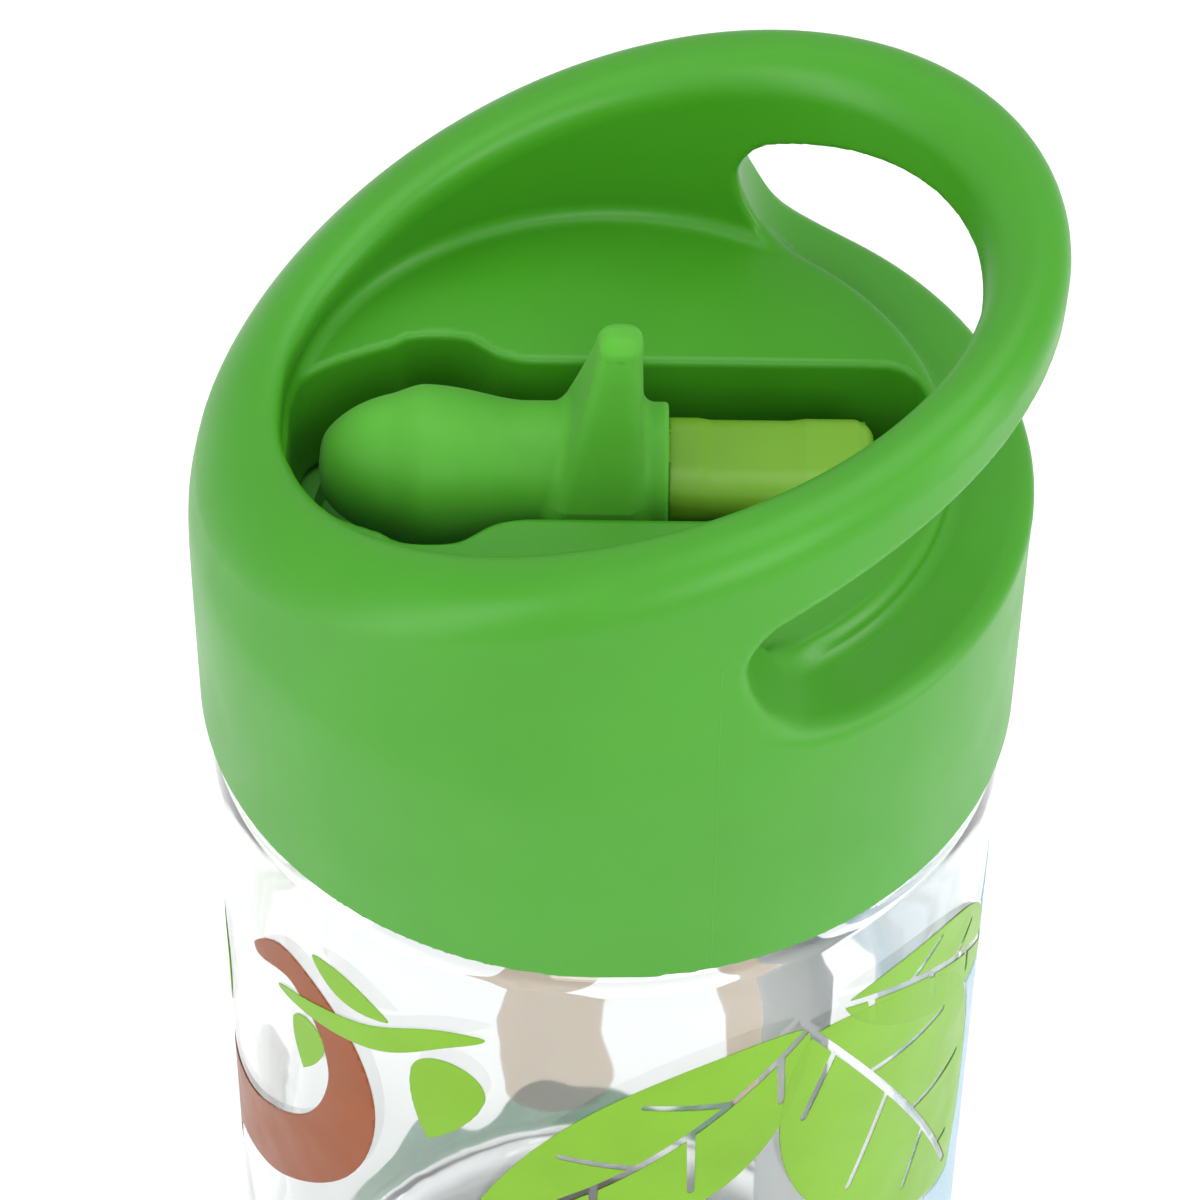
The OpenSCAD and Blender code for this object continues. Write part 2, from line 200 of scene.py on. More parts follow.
def vary_gloss(finish, shader, position, size_mm, low, high):
    """Lets the roughness drift between two values, as handling and the mould leave it"""
    noise = add_node(finish, "ShaderNodeTexNoise",
                     {"Scale": 1 / (size_mm * MM), "Detail": 2.0}, {"Vector": position})
    gloss = add_node(finish, "ShaderNodeMapRange",
                     {"From Min": 0.3, "From Max": 0.7, "To Min": low, "To Max": high},
                     {"Value": noise.outputs["Fac"]})
    finish.node_tree.links.new(gloss.outputs["Result"], shader.inputs["Roughness"])


def grain(finish, shader, position, size_mm, depth_mm, strength):
    """Fine bump of a real grain size and depth"""
    noise = add_node(finish, "ShaderNodeTexNoise",
                     {"Scale": 1 / (size_mm * MM), "Detail": 2.0}, {"Vector": position})
    bump = add_node(finish, "ShaderNodeBump", {"Strength": strength, "Distance": depth_mm * MM},
                    {"Height": noise.outputs["Fac"]})
    finish.node_tree.links.new(bump.outputs["Normal"], shader.inputs["Normal"])


def shade(code, factor):
    """A hex colour made lighter or darker by a factor"""
    parts = (min(255, round(int(code[i:i + 2], 16) * factor)) for i in (1, 3, 5))
    return "#" + "".join(f"{part:02X}" for part in parts)


def place_of(finish):
    """The piece's own coordinates, in metres"""
    return add_node(finish, "ShaderNodeTexCoord").outputs["Object"]


def satin_polypropylene(name, colour):
    """Polypropylene moulded in a spark-eroded tool: even colour, soft broad highlights and a faint
    glow through thin edges, because the natural resin is milky"""
    finish, shader = start_finish(name, {
        "IOR": 1.49, "Subsurface Weight": 0.12, "Subsurface Radius": (0.6, 1.0, 0.3),
        "Subsurface Scale": 1.6 * MM, "Specular IOR Level": 0.35})
    position = place_of(finish)
    vary_colour(finish, shader, position, 22, shade(colour, 0.975), shade(colour, 1.025))
    vary_gloss(finish, shader, position, 9, 0.36, 0.44)
    # A real eroded grain is 0.05 mm; it is drawn at 0.35 mm so that it still shows
    grain(finish, shader, position, 0.35, 0.012, 0.35)
    return finish


def matte_silicone(name, colour):
    """Silicone rubber pressed in a polished mould: dull, slightly dusty and faintly see-through"""
    finish, shader = start_finish(name, {
        "IOR": 1.41, "Subsurface Weight": 0.3, "Subsurface Radius": (0.7, 1.0, 0.4),
        "Subsurface Scale": 2.0 * MM, "Specular IOR Level": 0.35, "Sheen Weight": 0.06,
        "Sheen Roughness": 0.5})
    position = place_of(finish)
    vary_colour(finish, shader, position, 9, shade(colour, 0.97), shade(colour, 1.03))
    vary_gloss(finish, shader, position, 4, 0.46, 0.56)
    # Dust and mould texture, drawn at 0.25 mm
    grain(finish, shader, position, 0.25, 0.01, 0.4)
    return finish


def clear_copolyester():
    """Clear copolyester, injection moulded and polished: as bright as glass, with the slow
    waviness that a moulded wall has"""
    finish, shader = start_finish("clear copolyester", {
        "Base Color": hex_linear("#FBFDFD"), "IOR": 1.57, "Transmission Weight": 1.0})
    position = place_of(finish)
    vary_gloss(finish, shader, position, 14, 0.015, 0.04)
    grain(finish, shader, position, 14, 0.06, 0.5)
    return finish


def natural_polyethylene():
    """Natural polyethylene tube, extruded: milky and half see-through with a soft gloss"""
    finish, shader = start_finish("natural polyethylene", {
        "Base Color": hex_linear("#F4F7F7"), "IOR": 1.51, "Transmission Weight": 0.4,
        "Subsurface Weight": 0.5, "Subsurface Scale": 1.0 * MM})
    position = place_of(finish)
    vary_gloss(finish, shader, position, 3, 0.28, 0.4)
    # Die lines along the tube, 0.6 mm apart
    stretched = add_node(finish, "ShaderNodeMapping", {"Scale": (1, 1, 0.03)}, {"Vector": position})
    grain(finish, shader, stretched.outputs["Vector"], 0.6, 0.02, 0.4)
    return finish


def screen_ink(name, colour, cover=1.0, glow=0.1):
    """Screen-printed ink, a film of 0.05 mm: even and half glossy, with the mesh's faint print;
    an ink laid on thin covers less than 1 and glows when the light is behind it"""
    finish, shader = start_finish(name, {
        "IOR": 1.5, "Specular IOR Level": 0.2, "Alpha": cover, "Subsurface Weight": glow,
        "Subsurface Radius": (1, 1, 1), "Subsurface Scale": 0.5 * MM})
    position = place_of(finish)
    vary_colour(finish, shader, position, 12, shade(colour, 0.97), shade(colour, 1.03))
    vary_gloss(finish, shader, position, 5, 0.3, 0.4)
    # The screen's mesh has threads every 0.1 mm; they are drawn at 0.4 mm
    grain(finish, shader, position, 0.4, 0.006, 0.3)
    return finish


def studio_paper():
    """Seamless white background paper, lightly fibrous"""
    finish, shader = start_finish("white background paper", {"IOR": 1.45})
    position = place_of(finish)
    vary_colour(finish, shader, position, 60, "#F4F4F3", "#FAFAF9")
    vary_gloss(finish, shader, position, 40, 0.75, 0.9)
    grain(finish, shader, position, 1.5, 0.05, 0.2)
    return finish


# ------------------------------------------------------------------------------ meshes


def add_piece(name, points, faces, finish, body, normals=None):
    """A mesh object from points in millimetres, with its finish, riding on a CAD body"""
    mesh = bpy.data.meshes.new(name)
    mesh.from_pydata((np.asarray(points) * MM).tolist(), [], [list(face) for face in faces])
    mesh.update()
    mesh.polygons.foreach_set("use_smooth", [True] * len(mesh.polygons))
    if normals is not None:
        mesh.normals_split_custom_set_from_vertices(normals.tolist())
    mesh.materials.append(finish)
    piece = bpy.data.objects.new(name, mesh)
    bpy.context.scene.collection.objects.link(piece)
    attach(piece, body)
    return piece


def round_max(a, b, radius):
    """Intersection of two fields with its edge rounded"""
    return np.minimum(np.maximum(a, b), -radius) + np.hypot(
        np.maximum(a + radius, 0), np.maximum(b + radius, 0))


def round_min(a, b, radius):
    """Union of two fields with its inner corner filled to a radius"""
    return np.maximum(np.minimum(a, b), radius) - np.hypot(
        np.maximum(radius - a, 0), np.maximum(radius - b, 0))


def smooth_step(value, start, end):
    """0 on start's side and 1 on end's side, with an even turn between"""
    t = np.clip((value - start) / (end - start), 0, 1)
    return t * t * (3 - 2 * t)


def slope(field, points):
    """The field's value and gradient at each point, by central differences"""
    apart = 0.02
    rise = []
    for axis in range(points.shape[1]):
        step = np.zeros(points.shape[1])
        step[axis] = apart
        rise.append((field(*(points + step).T) - field(*(points - step).T)) / (2 * apart))
    return field(*points.T), np.stack(rise, axis=1)


def settle(field, points, limit, rounds=4):
    """Moves points onto the surface where the field is zero; returns them with the normals"""
    flattest = 0.05
    for _ in range(rounds):
        value, rise = slope(field, points)
        square = np.maximum((rise ** 2).sum(axis=1), flattest)
        move = rise * (value / square)[:, None]
        length = np.linalg.norm(move, axis=1, keepdims=True)
        points = points - move * np.minimum(1, limit / np.maximum(length, TINY))
    rise = slope(field, points)[1]
    return points, rise / np.maximum(np.linalg.norm(rise, axis=1, keepdims=True), TINY)


def surface_net(field, low, high, step):
    """Points and quads of the surface where a field of x, y and z in millimetres is zero"""
    axes = [np.arange(a, b + step, step) for a, b in zip(low, high)]
    shape = tuple(len(axis) for axis in axes)
    nx, ny, nz = (length - 1 for length in shape)
    value = np.broadcast_to(field(*np.meshgrid(*axes, indexing="ij", sparse=True)), shape)
    inside = value < 0
    corners = sum(inside[i:nx + i, j:ny + j, k:nz + k].astype(np.int8)
                  for i in (0, 1) for j in (0, 1) for k in (0, 1))
    mixed = (corners > 0) & (corners < 8)
    cell = np.full(mixed.shape, -1)
    cell[mixed] = np.arange(mixed.sum())
    total = np.zeros((mixed.sum(), 3))
    hits = np.zeros(mixed.sum())
    quads = []
    for axis in range(3):
        unit = np.eye(3, dtype=int)
        along, side, other = unit[axis], unit[(axis + 1) % 3], unit[(axis + 2) % 3]
        lower = tuple(slice(0, n - 1) if d == axis else slice(1, n - 1) for d, n in enumerate(shape))
        upper = tuple(slice(1, n) if d == axis else slice(1, n - 1) for d, n in enumerate(shape))
        at = np.argwhere(inside[lower] != inside[upper]) + 1 - along
        first, second = value[tuple(at.T)], value[tuple((at + along).T)]
        cross = np.asarray(low) + step * (at + (first / (first - second))[:, None] * along)
        ring = np.stack([cell[tuple((at - a * side - b * other).T)]
                         for a, b in ((0, 0), (1, 0), (1, 1), (0, 1))], axis=1)
        for column in ring.T:
            np.add.at(total, column, cross)
            np.add.at(hits, column, 1)
        quads.append(np.where((first < 0)[:, None], ring, ring[:, ::-1]))
    points = total / np.maximum(hits, 1)[:, None]
    return *settle(field, points, step), np.concatenate(quads)


def net_piece(name, field, low, high, step, finish, body):
    """A piece whose surface is where a field is zero"""
    points, normals, quads = surface_net(field, low, high, step)
    return add_piece(name, points, quads, finish, body, normals)


def lathe(rows, sides, reach):
    """Points and quads of a closed outline turned about Z; reach(angle, row) gives the radius and
    the height of each of its rows"""
    points = []
    for row in range(rows):
        for side in range(sides):
            angle = 2 * math.pi * side / sides
            r, z = reach(angle, row)
            points.append((r * math.cos(angle), r * math.sin(angle), z))
    quads = [(row * sides + side, row * sides + (side + 1) % sides,
              (row + 1) % rows * sides + (side + 1) % sides, (row + 1) % rows * sides + side)
             for row in range(rows) for side in range(sides)]
    return points, quads


def arc(centre, radius, start, end, count):
    """Points of an arc, its angles in degrees"""
    angles = np.radians(np.linspace(start, end, count + 1))
    return [(centre[0] + radius * math.cos(a), centre[1] + radius * math.sin(a)) for a in angles]


def tube(path, radius):
    """Points and faces of a thin round line along a path of points in millimetres"""
    sides = 8
    steep = 0.9
    path = np.asarray(path, float)
    count = len(path)
    ahead = np.roll(path, -1, axis=0) - np.roll(path, 1, axis=0)
    ahead[0], ahead[-1] = path[1] - path[0], path[-1] - path[-2]
    ahead /= np.linalg.norm(ahead, axis=1, keepdims=True)
    up = np.where(abs(ahead[:, 2:3]) < steep, [[0, 0, 1.0]], [[1.0, 0, 0]])
    side = np.cross(ahead, up)
    side /= np.linalg.norm(side, axis=1, keepdims=True)
    lift = np.cross(side, ahead)
    points = [path[i] + radius * (math.cos(a) * side[i] + math.sin(a) * lift[i])
              for i in range(count) for a in np.linspace(0, 2 * math.pi, sides, endpoint=False)]
    faces = [(i * sides + k, i * sides + (k + 1) % sides,
              (i + 1) * sides + (k + 1) % sides, (i + 1) * sides + k)
             for i in range(count - 1) for k in range(sides)]
    faces += [tuple(range(sides))[::-1], tuple(range((count - 1) * sides, count * sides))]
    return points, faces


# ----------------------------------------------------------------------------- the lid


def channel_outline():
    """Outline of the spout's channel in the deck, smoothed, with its finger notches"""
    half = [(27.2, 0), (27.2, 2.7), (26.9, 6.2), (25.6, 8.4), (23, 9.4), (14, 9.4), (4, 9.4),
            (-4, 9.4), (-7.5, 9.5), (-9.6, 10.1), (-11.1, 11.2), (-12.6, 12.2), (-15, 12.45),
            (-17.4, 12.2), (-18.9, 11.2), (-21.2, 10.2), (-24.4, 8.5), (-26.4, 6.6),
            (-27.2, 3.4), (-27.2, 0)]
    loop = np.array(half + [(x, -y) for x, y in half[-2:0:-1]])
    return curve_through(loop, 5)


def curve_through(points, count):
    """A closed smooth curve through points, count steps from one to the next"""
    before, after = np.roll(points, 1, axis=0), np.roll(points, -1, axis=0)
    beyond = np.roll(points, -2, axis=0)
    curve = []
    for i in range(len(points)):
        for t in np.arange(count) / count:
            a, b, c, d = before[i], points[i], after[i], beyond[i]
            curve.append(0.5 * (2 * b + (c - a) * t + (2 * a - 5 * b + 4 * c - d) * t ** 2
                                + (3 * b - a - 3 * c + d) * t ** 3))
    return np.array(curve)


def outline_distance(x, y, outline):
    """Distance from (x, y) to a closed outline in the plane, negative inside it"""
    best = np.full(np.broadcast(x, y).shape, FAR)
    within = np.zeros(best.shape, bool)
    for (ax, ay), (bx, by) in zip(outline, np.roll(outline, -1, axis=0)):
        ex, ey = bx - ax, by - ay
        share = np.clip(((x - ax) * ex + (y - ay) * ey) / (ex * ex + ey * ey), 0, 1)
        best = np.minimum(best, (x - ax - share * ex) ** 2 + (y - ay - share * ey) ** 2)
        if ay != by:
            within ^= ((ay > y) != (by > y)) & (x < ex * (y - ay) / ey + ax)
    return np.where(within, -1, 1) * np.sqrt(best)


def plane_table(field, reach, step):
    """A field of x and y read from a table with even steps, quicker than working it out"""
    line = np.arange(-reach, reach + step, step)
    table = field(*np.meshgrid(line, line, indexing="ij"))

    def read(x, y):
        across, up = (np.clip((value + reach) / step, 0, len(line) - 1.001) for value in (x, y))
        i, j = across.astype(int), up.astype(int)
        s, t = across - i, up - j
        return ((1 - s) * ((1 - t) * table[i, j] + t * table[i, j + 1])
                + s * ((1 - t) * table[i + 1, j] + t * table[i + 1, j + 1]))

    return read


def skirt_at(z):
    """Where the lid's outer wall has its middle and its radius at a height over the lid's edge:
    upright up to the bend, and from there leaning to the hinge and drawing in"""
    bend_z, softness = 22, 4
    lean, draw_in = 0.145, 0.11
    rise = (z - bend_z + np.sqrt((z - bend_z) ** 2 + softness)) / 2
    return lean * rise, SKIRT_R - draw_in * rise


def lid_field(sizes):
    """The lid shell: skirt, deck, ledge and the leaning carrying loop, as one field"""
    deck, ledge_height = sizes.deck / MM, sizes.ledge / MM
    crest_r = sizes.crest_radius / MM
    bowl_r = SKIRT_R - sizes.loop_wall / MM
    bowl_lean, bowl_draw = 0.239, 0.128
    # Centre and radius of the loop's crest and of the opening's top, seen along Y
    crest_x, crest_z, crest_arc_r = 95.3, -230.2, 290
    arch_x, arch_z, arch_arc_r = 62.4, -59.7, 110
    opening_x, opening_r, arch_r, rim_r = 11, 11, 2.8, 0.9
    deck_r, deck_edge_r, root_r = 29.0, 1.2, 1.6
    # The ledge stands over the CAD's by the lift, and falls evenly to its outer edge
    ledge_lift, ledge_fall, fall_start, fall_width = 0.4, 0.3, 29.5, 5.5
    low_edge_r, ledge_edge_r, foot_edge_r = 0.9, 1.9, 0.25
    deck_wall, channel_wall, cavity_r, mouth_r = 2.2, 1.6, 0.8, 0.6
    wall_bottom = CAP_TOP - LID_Z + 0.6
    margin, table_step = 3, 0.2
    outline = channel_outline()
    channel_at = plane_table(lambda x, y: outline_distance(x, y, outline), SKIRT_R + margin,
                             table_step)

    def field(x, y, z):
        z = z - LID_Z
        radius = np.hypot(x, y)
        middle, wall_r = skirt_at(z)
        outer = np.hypot(x - middle, y) - wall_r
        bowl = bowl_r - bowl_draw * (z - deck) - np.hypot(x - bowl_lean * (z - deck), y)
        crest = np.hypot(x - crest_x, z - crest_z) - crest_arc_r
        arch = np.hypot(x - arch_x, z - arch_z) - arch_arc_r
        fall = 1 - np.clip((radius - fall_start) / fall_width, 0, 1)
        ledge = ledge_height + ledge_lift + ledge_fall * fall
        opening = round_max(ledge_height - z, opening_x - x, opening_r)
        opening = round_max(opening, arch, arch_r)
        floor = round_max(radius - deck_r, z - deck, deck_edge_r)
        floor = round_min(z - ledge, floor, deck_edge_r)
        loop = round_max(round_max(bowl, crest, crest_r), -opening, rim_r)
        body = round_min(floor, loop, root_r)
        edge = low_edge_r + (crest_r - low_edge_r) * smooth_step(crest, -4.8, -2.8)
        edge = edge + (ledge_edge_r - edge) * smooth_step(z, 30, 27) * smooth_step(x, -20, 0)
        body = round_max(body, outer, edge)
        channel = channel_at(x, y)
        cavity = round_max(radius - SKIRT_R + SKIRT_WALL, z - ledge_height + deck_wall, cavity_r)
        cavity = np.maximum(cavity, -np.maximum(channel - channel_wall, wall_bottom - z))
        body = np.maximum(body, -cavity)
        body = round_max(body, -np.maximum(channel, wall_bottom - 1 - z), mouth_r)
        return round_max(body, -foot_edge_r - z, foot_edge_r)

    return field


class BOTTLE_OT_lid_shell(bpy.types.Operator):
    """Build the lid shell with its skirt, deck and carrying loop"""

    bl_idname = "bottle.lid_shell"
    bl_label = "Lid Shell"

    def execute(self, context):
        sizes = context.scene.lid_sizes
        finish = satin_polypropylene("satin polypropylene, leaf green",
                                     context.scene.bottle_colours.lid)
        low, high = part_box("lid_shell")
        margin = Vector((1.3, 1.3, 1.3))
        piece = net_piece("lid_shell_moulding", lid_field(sizes), low / MM - margin,
                          high / MM + margin, sizes.net / MM, finish, "lid")
        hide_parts("lid_shell")
        return {"FINISHED"}


class BOTTLE_OT_mould_lines(bpy.types.Operator):
    """Draw the lid's parting line down the front and the back of the wall"""

    bl_idname = "bottle.mould_lines"
    bl_label = "Mould Lines"

    def execute(self, context):
        # The line is painted a little paler than the wall: a painted highlight standing in for the light
        # that the thin raised line catches
        finish = satin_polypropylene("satin polypropylene, parting line with painted highlight",
                                     shade(context.scene.bottle_colours.lid, 1.06))
        line_x, line_r, sunk = 9, 0.08, 0.05
        for side, name in ((-1, "front"), (1, "back")):
            path = []
            for z in np.linspace(0.2, 36, 40):
                middle, wall_r = skirt_at(z)
                y = side * math.sqrt((wall_r - sunk) ** 2 - (line_x - middle) ** 2)
                path.append((line_x, y, LID_Z + z))
            points, faces = tube(path, line_r)
            piece = add_piece(f"parting_line_{name}", points, faces, finish, "lid")
        return {"FINISHED"}


# --------------------------------------------------------------------------- the spout


def mouthpiece_field(sizes):
    """The soft mouthpiece: bulb, sleeve and finger tab, with its bore and bite slit"""
    bulb_r, sleeve_r, tab = sizes.bulb / 2 / MM, sizes.sleeve / 2 / MM, sizes.tab / MM
    bulb_x, tip_length, back_length = TIP_X + 9.0, 9.2, 7.5
    sleeve_edge_r, neck_r, tip_r = 0.35, 3, 0.8
    # The tab seen along Y: its edges at the top, how far they spread down to the axis
    left_x, left_spread, left_curve = -0.9, 4.3, 1.25
    right_x, right_spread = 2.6, 0.35
    # The tab seen along X: its half width at the top, and its spread to the sleeve
    half_top, sleeve_inset, spread_rate, half_curve = 1.6, 0.6, 1.08, 0.95
    tilt_share, tab_low = 0.93, 4.5
    side_r, top_r, low_r, root_r = 1.3, 1.1, 1.0, 0.9
    socket_r, socket_x = 3.4, -9
    hollow_r, hollow_start, hollow_edge_r = 2.6, TIP_X + 3.5, 0.6
    slit_half, slit_reach, slit_depth = 0.2, 1.7, 5

    def field(x, y, z):
        z = z - AXIS_Z
        radius = np.hypot(y, z)
        along = np.where(x < bulb_x, (x - bulb_x) / tip_length, (x - bulb_x) / back_length)
        bulb = (np.sqrt(along ** 2 + (radius / bulb_r) ** 2) - 1) * bulb_r
        sleeve = round_max(radius - sleeve_r, np.maximum(bulb_x - x, x - COLLAR_X), sleeve_edge_r)
        body = round_max(round_min(bulb, sleeve, neck_r), TIP_X - x, tip_r)
        down = 1 - np.clip(z / tab, 0, 1)
        left = left_x - left_spread * down ** left_curve
        right = right_x + right_spread * down
        half = half_top + (sleeve_r - sleeve_inset) * np.minimum(1, spread_rate * down) ** half_curve
        fin = round_max(np.maximum(left - x, x - right) * tilt_share,
                        (abs(y) - half) * tilt_share, side_r)
        fin = round_max(round_max(fin, z - tab, top_r), -tab_low - z, low_r)
        body = round_min(body, fin, root_r)
        bore = np.maximum(radius - socket_r, socket_x - x)
        hollow = round_max(radius - hollow_r, np.maximum(hollow_start - x, x), hollow_edge_r)
        slit = np.minimum(np.maximum(abs(y) - slit_half, abs(z) - slit_reach),
                          np.maximum(abs(z) - slit_half, abs(y) - slit_reach))
        slit = np.maximum(slit, x - TIP_X - slit_depth)
        return np.maximum(np.maximum(np.maximum(body, -bore), -hollow), -slit)

    return field


def arm_field(x, y, z):
    """The hinged tube: flat bar, heel, hinge barrel with its two pins, and the spigot inside
    the mouthpiece, bored through"""
    half_height, bar_edge_r, bar_end_r, past_hinge = 2.8, 2.6, 0.15, 2
    # The bar is as high as in CAD up to the dip's start, and lower by the dip from its end on
    dip, dip_start, dip_end = 0.22, 7.4, 8.8
    heel_angle, heel_r, heel_top, wedge_r = math.radians(56), 7.45, 2.58, 1.6
    barrel_r, pin_r, pin_reach, end_r = 4.6, 2, 8.4, 0.3
    spigot_r, spigot_x, spigot_flat = 3.38, -9, 2.4
    elbow = 8
    rise = z - AXIS_Z
    drop = z - HINGE_Z
    side = abs(y) - ARM_SIDE
    bar = round_max(side, abs(rise) - half_height + dip * smooth_step(x, dip_start, dip_end),
                    bar_edge_r)
    bar = round_max(bar, np.maximum(COLLAR_X - x, x - HINGE_X - past_hinge), bar_end_r)
    axle = np.hypot(x - HINGE_X, drop)
    wedge = (x - HINGE_X) * math.sin(heel_angle) - drop * math.cos(heel_angle)
    heel = round_max(np.maximum(axle - heel_r, rise - heel_top), wedge, wedge_r)
    heel = round_max(heel, -drop, end_r)
    heel = round_max(heel, side, bar_edge_r)
    barrel = round_max(axle - barrel_r, side, 0.4)
    pins = round_max(axle - pin_r, abs(y) - pin_reach, end_r)
    off_axis = np.hypot(y, rise)
    spigot = round_max(off_axis - spigot_r, np.maximum(spigot_x - x, x - COLLAR_X - 1), end_r)
    spigot = np.maximum(spigot, np.minimum(abs(rise) - spigot_flat, x - COLLAR_X))
    body = np.minimum(round_min(bar, heel, 0.6), spigot)
    body = round_min(body, np.minimum(barrel, pins), 0.3)
    bore = np.maximum(off_axis - BORE_R, x - HINGE_X + elbow)
    outlet = np.maximum(np.hypot(y, drop) - BORE_R, HINGE_X - x)
    joint = capsule(x, y, z, (HINGE_X - elbow, AXIS_Z), (HINGE_X, HINGE_Z), BORE_R)
    return np.maximum(body, -np.minimum(np.minimum(bore, outlet), joint))


def capsule(x, y, z, start, end, radius):
    """A round-ended bar in the plane y = 0, from one (x, z) to another"""
    ex, ez = end[0] - start[0], end[1] - start[1]
    share = np.clip(((x - start[0]) * ex + (z - start[1]) * ez) / (ex * ex + ez * ez), 0, 1)
    off_x, off_z = x - start[0] - share * ex, z - start[1] - share * ez
    return np.sqrt(off_x ** 2 + y ** 2 + off_z ** 2) - radius


class BOTTLE_OT_mouthpiece(bpy.types.Operator):
    """Build the soft mouthpiece with its finger tab and bite slit"""

    bl_idname = "bottle.mouthpiece"
    bl_label = "Mouthpiece"

    def execute(self, context):
        sizes = context.scene.spout_sizes
        finish = matte_silicone("matte silicone, grass green",
                                context.scene.bottle_colours.mouthpiece)
        low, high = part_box("mouthpiece")
        margin = Vector((0.7, 0.7, 0.7))
        field = mouthpiece_field(sizes)
        piece = net_piece("mouthpiece_silicone", field, low / MM - margin, high / MM + margin,
                          sizes.net / MM, finish, "spout")
        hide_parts("mouthpiece")
        # The flash line starts as an oval round the tab, a little under its top
        middle_x, half_x, half_y, line_r = 0.85, 3, 2.2, 0.07
        line_z = AXIS_Z + sizes.tab / MM - 1.4
        ring = arc((middle_x, 0), 1.0, -90, 90, 8) + arc((middle_x, 0), 1.0, 90, 270, 8)
        oval = [(middle_x + half_x * (x - middle_x), half_y * y, line_z) for x, y in ring]
        points, faces = tube(settle(field, np.array(oval), 1)[0], line_r)
        add_piece("tab_flash_line", points, faces, finish, "spout")
        return {"FINISHED"}


class BOTTLE_OT_spout_arm(bpy.types.Operator):
    """Build the hinged tube that carries the mouthpiece"""

    bl_idname = "bottle.spout_arm"
    bl_label = "Spout Arm"

    def execute(self, context):
        sizes = context.scene.spout_sizes
        finish = satin_polypropylene("satin polypropylene, lime", context.scene.bottle_colours.spout)
        low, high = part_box("spout_arm")
        margin = Vector((0.7, 0.7, 0.7))
        piece = net_piece("spout_arm_moulding", arm_field, low / MM - margin, high / MM + margin,
                          sizes.net / MM, finish, "spout")
        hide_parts("spout_arm")
        return {"FINISHED"}


# -------------------------------------------------------------------------- the bottle


def bottle_outline(wall, neck_wall, foot):
    """Closed outline of the body, from the middle of the base out, up and back inside"""
    foot_ring, push_up, middle = 3, 3, 0.01
    shoulder = LID_Z - 0.6
    shoulder_r, root, rim_r = 2.5, 0.6, 0.7
    neck_in_r, shoulder_in_r = 1.2, 2.0
    inner = BODY_R - wall
    floor = push_up + wall
    push = BODY_R - foot - foot_ring
    base = [(push * i / 12 + middle, push_up * (1 - (i / 12) ** 2)) for i in range(13)]
    outside = arc((BODY_R - foot, foot), foot, -90, 0, 12)
    side = [(BODY_R, z) for z in np.linspace(foot, shoulder - shoulder_r, 24)[1:-1]]
    top = arc((BODY_R - shoulder_r, shoulder - shoulder_r), shoulder_r, 0, 90, 10)
    neck = [(NECK_R + root, shoulder), (NECK_R + 0.1, shoulder + 0.2)]
    neck += [(NECK_R, z) for z in np.linspace(shoulder + root, RIM_Z - rim_r, 34)]
    rim = arc((NECK_R - rim_r, RIM_Z - rim_r), rim_r, 0, 90, 5)[1:]
    rim += arc((NECK_R - neck_wall + rim_r, RIM_Z - rim_r), rim_r, 90, 180, 5)
    inside = arc((NECK_R - neck_wall + neck_in_r, shoulder - 0.6), neck_in_r, 180, 250, 4)
    inside += arc((inner - shoulder_in_r, shoulder - wall - shoulder_in_r), shoulder_in_r, 80, 0, 6)
    inside += [(inner, z) for z in np.linspace(shoulder - wall - 2.4, floor + foot - wall + 0.4, 20)]
    inside += arc((inner - foot + wall, floor + foot - wall), foot - wall, 0, -90, 8)
    inside += [(r, floor) for r in (20, 10, middle)]
    return base + outside + side + top + neck + rim + inside


def thread_height(angle, z, pitch):
    """How far the neck's thread stands out at an angle and a height"""
    start, half_foot, flank, fade_turns, thinnest = 2.6, 1.1, 0.65, 0.12, 0.1
    height = 0
    for lap in (0, 1):
        along = angle / (2 * math.pi) + lap
        if along <= THREAD_TURNS:
            off = abs(z - LID_Z - start - pitch * along)
            fade = min(1, thinnest + along / fade_turns,
                       thinnest + (THREAD_TURNS - along) / fade_turns)
            height = max(height, THREAD_DEPTH * fade * min(1, max(0, (half_foot - off) / flank)))
    return height


class BOTTLE_OT_clear_body(bpy.types.Operator):
    """Build the clear beaker with its screw neck"""

    bl_idname = "bottle.clear_body"
    bl_label = "Clear Body"

    def execute(self, context):
        sizes = context.scene.bottle_sizes
        outline = bottle_outline(sizes.wall / MM, sizes.neck_wall / MM, sizes.foot_radius / MM)
        pitch = sizes.thread_pitch / MM
        sides, near = 224, 0.01

        def reach(angle, row):
            radius, z = outline[row]
            on_neck = z > LID_Z and abs(radius - NECK_R) < near
            return (radius + thread_height(angle, z, pitch) if on_neck else radius), z

        points, quads = lathe(len(outline), sides, reach)
        piece = add_piece("clear_beaker", points, quads, clear_copolyester(), "bottle")
        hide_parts("bottle_body")
        return {"FINISHED"}


class BOTTLE_OT_straw(bpy.types.Operator):
    """Build the straw with its slanted foot"""

    bl_idname = "bottle.straw"
    bl_label = "Straw"

    def execute(self, context):
        outer = (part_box("straw")[1].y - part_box("straw")[0].y) / 2 / MM
        inner = outer - context.scene.bottle_sizes.straw_wall / MM
        heights = np.linspace(STRAW_LOW, STRAW_TOP, 60)
        outline = [(outer, z) for z in heights] + [(inner, z) for z in heights[::-1]]
        sides, slant = 48, math.tan(math.radians(30))

        def reach(angle, row):
            radius, z = outline[row]
            foot = max(0, -math.cos(angle)) * radius * slant
            return radius, max(z, STRAW_LOW + foot)

        points, quads = lathe(len(outline), sides, reach)
        points = np.array(points) + (HINGE_X, 0, 0)
        piece = add_piece("straw_tube", points, quads, natural_polyethylene(), "lid")
        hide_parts("straw")
        return {"FINISHED"}


